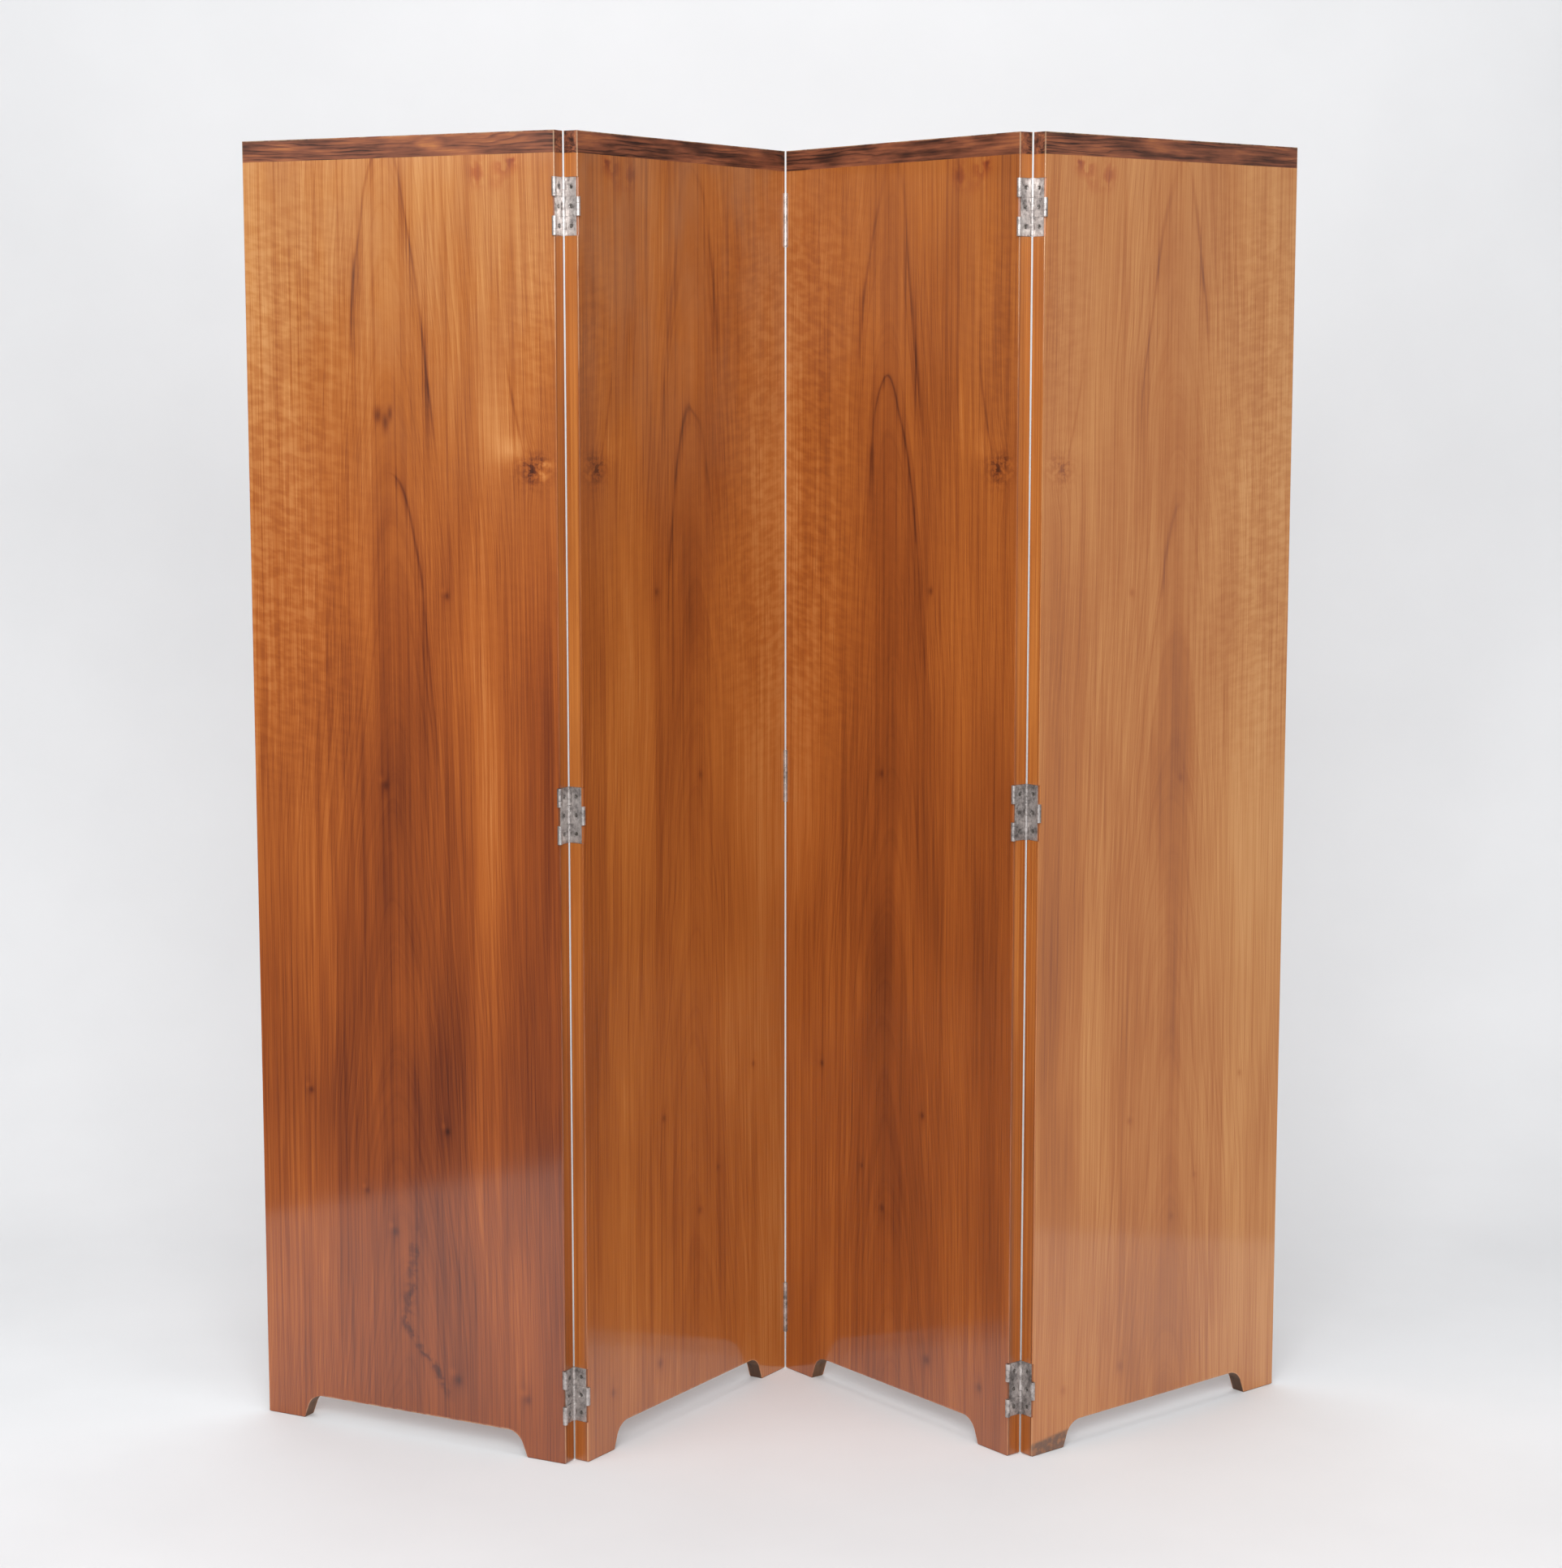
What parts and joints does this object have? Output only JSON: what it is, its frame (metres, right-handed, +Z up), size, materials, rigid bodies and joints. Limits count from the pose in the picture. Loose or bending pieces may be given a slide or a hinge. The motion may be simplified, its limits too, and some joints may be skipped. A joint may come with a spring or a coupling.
{
  "type": "folding screen",
  "caption": "Free-standing folding screen of flush veneered panels with a dark top rail and low arched feet, joined edge to edge by double-action hinges.",
  "frame": {"origin": "middle of the bounding box in plan, at the floor", "axes": "+Z up; the face side, from which the picture was taken, is -Y; panel 1 is at -X and panel 4 at +X"},
  "size_m": [1.4738, 0.4466, 1.81],
  "materials": {
    "walnut_veneer": "figured walnut veneer, satin lacquer",
    "lipping_wood": "solid walnut edge strip, satin lacquer",
    "core_wood": "bare laminboard",
    "rosewood": "dark rosewood, satin lacquer",
    "hinge_nickel": "aged nickel plate",
    "pin_steel": "plain steel",
    "screw_steel": "aged nickel-plated steel"
  },
  "bodies": {
    "panel_1": {"panel_1_core": "core_wood", "panel_1_left_lipping": "lipping_wood", "panel_1_right_lipping": "lipping_wood", "panel_1_front_veneer": "walnut_veneer", "panel_1_back_veneer": "walnut_veneer", "panel_1_top_rail": "rosewood", "panel_1_hinge_screws": "screw_steel", "hinge_1_bottom_left_leaf": "hinge_nickel", "hinge_1_middle_left_leaf": "hinge_nickel", "hinge_1_top_left_leaf": "hinge_nickel", "hinge_1_outer_links": "hinge_nickel", "hinge_1_left_pins": "pin_steel"},
    "panel_2": {"panel_2_core": "core_wood", "panel_2_left_lipping": "lipping_wood", "panel_2_right_lipping": "lipping_wood", "panel_2_front_veneer": "walnut_veneer", "panel_2_back_veneer": "walnut_veneer", "panel_2_top_rail": "rosewood", "panel_2_hinge_screws": "screw_steel", "hinge_1_bottom_right_leaf": "hinge_nickel", "hinge_1_middle_right_leaf": "hinge_nickel", "hinge_1_top_right_leaf": "hinge_nickel", "hinge_1_middle_links": "hinge_nickel", "hinge_1_right_pins": "pin_steel", "hinge_2_bottom_left_leaf": "hinge_nickel", "hinge_2_middle_left_leaf": "hinge_nickel", "hinge_2_top_left_leaf": "hinge_nickel", "hinge_2_middle_links": "hinge_nickel", "hinge_2_left_pins": "pin_steel"},
    "panel_3": {"panel_3_core": "core_wood", "panel_3_left_lipping": "lipping_wood", "panel_3_right_lipping": "lipping_wood", "panel_3_front_veneer": "walnut_veneer", "panel_3_back_veneer": "walnut_veneer", "panel_3_top_rail": "rosewood", "panel_3_hinge_screws": "screw_steel", "hinge_2_bottom_right_leaf": "hinge_nickel", "hinge_2_middle_right_leaf": "hinge_nickel", "hinge_2_top_right_leaf": "hinge_nickel", "hinge_2_outer_links": "hinge_nickel", "hinge_2_right_pins": "pin_steel", "hinge_3_bottom_left_leaf": "hinge_nickel", "hinge_3_middle_left_leaf": "hinge_nickel", "hinge_3_top_left_leaf": "hinge_nickel", "hinge_3_outer_links": "hinge_nickel", "hinge_3_left_pins": "pin_steel"},
    "panel_4": {"panel_4_core": "core_wood", "panel_4_left_lipping": "lipping_wood", "panel_4_right_lipping": "lipping_wood", "panel_4_front_veneer": "walnut_veneer", "panel_4_back_veneer": "walnut_veneer", "panel_4_top_rail": "rosewood", "panel_4_hinge_screws": "screw_steel", "hinge_3_bottom_right_leaf": "hinge_nickel", "hinge_3_middle_right_leaf": "hinge_nickel", "hinge_3_top_right_leaf": "hinge_nickel", "hinge_3_middle_links": "hinge_nickel", "hinge_3_right_pins": "pin_steel"}
  },
  "joints": [
    {"name": "fold_1", "type": "hinge", "parent": "panel_2", "child": "panel_1", "pos_m": [-0.28285, -0.19892, 0], "axis": [0, 0, 1], "range_deg": [-94.5, 84]},
    {"name": "fold_2", "type": "hinge", "parent": "panel_2", "child": "panel_3", "pos_m": [0.01313, 0.20549, 0], "axis": [0, 0, 1], "range_deg": [-69.5, 109]},
    {"name": "fold_3", "type": "hinge", "parent": "panel_3", "child": "panel_4", "pos_m": [0.3366, -0.17729, 0], "axis": [0, 0, 1], "range_deg": [-92, 86.5]}
  ]
}
